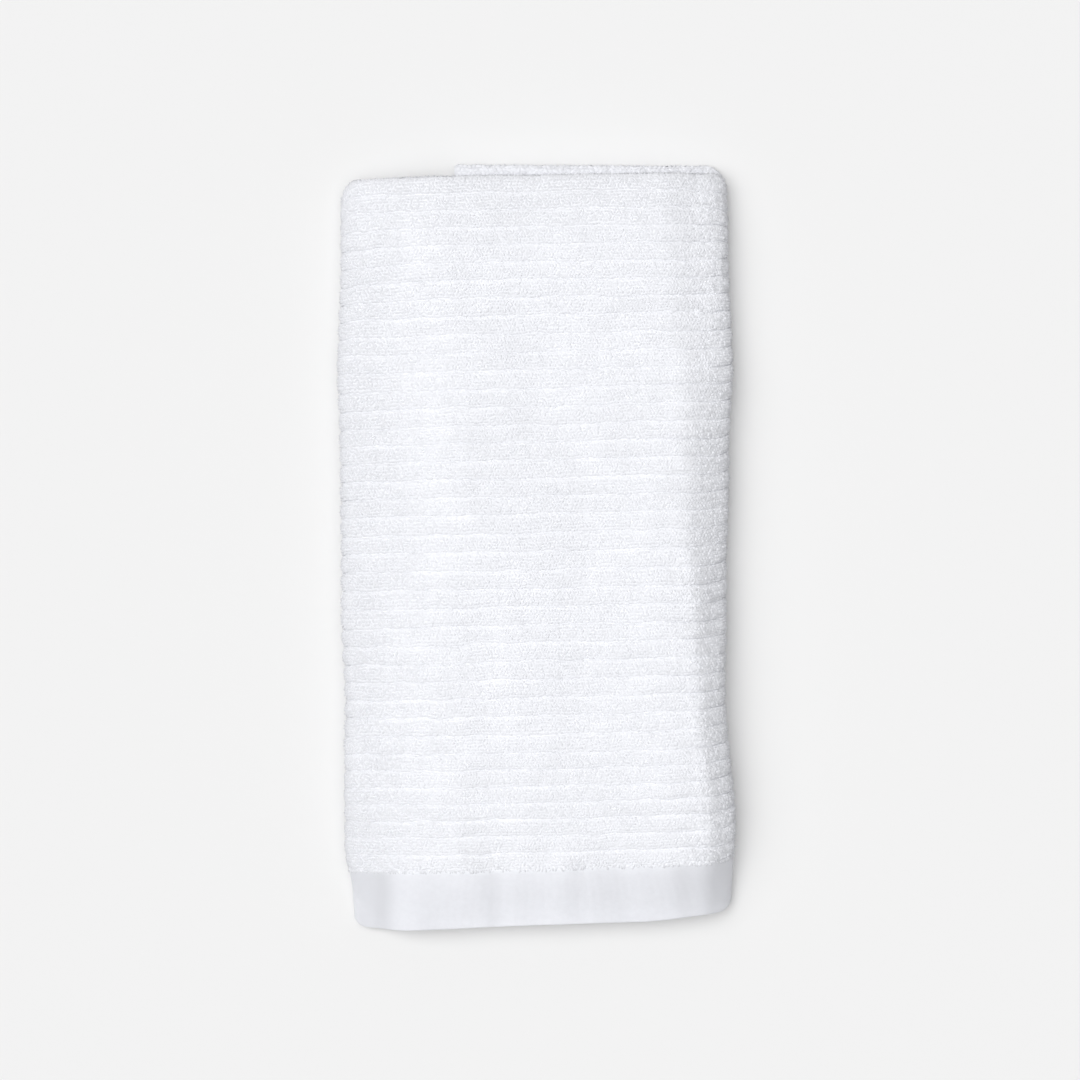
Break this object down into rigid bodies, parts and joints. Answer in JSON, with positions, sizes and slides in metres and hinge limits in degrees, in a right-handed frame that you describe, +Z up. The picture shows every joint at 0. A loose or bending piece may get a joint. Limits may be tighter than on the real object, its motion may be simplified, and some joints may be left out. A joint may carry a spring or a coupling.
{
  "type": "folded bath towel",
  "caption": "Ribbed terry bath towel with a flat-woven hemmed band, folded lengthwise and then across, lying flat with the band showing.",
  "frame": {"origin": "middle of the folded towel's box, on the surface it lies on", "axes": "+Z up through the folded layers, +Y along the towel from the band's lower edge to the top fold, +X across it from the left fold to the right fold"},
  "size_m": [0.2838, 0.547, 0.044],
  "materials": {
    "terry": "white ribbed cotton terry with a smooth plain-woven band at each end"
  },
  "bodies": {
    "root": {"towel": "terry"}
  },
  "joints": []
}
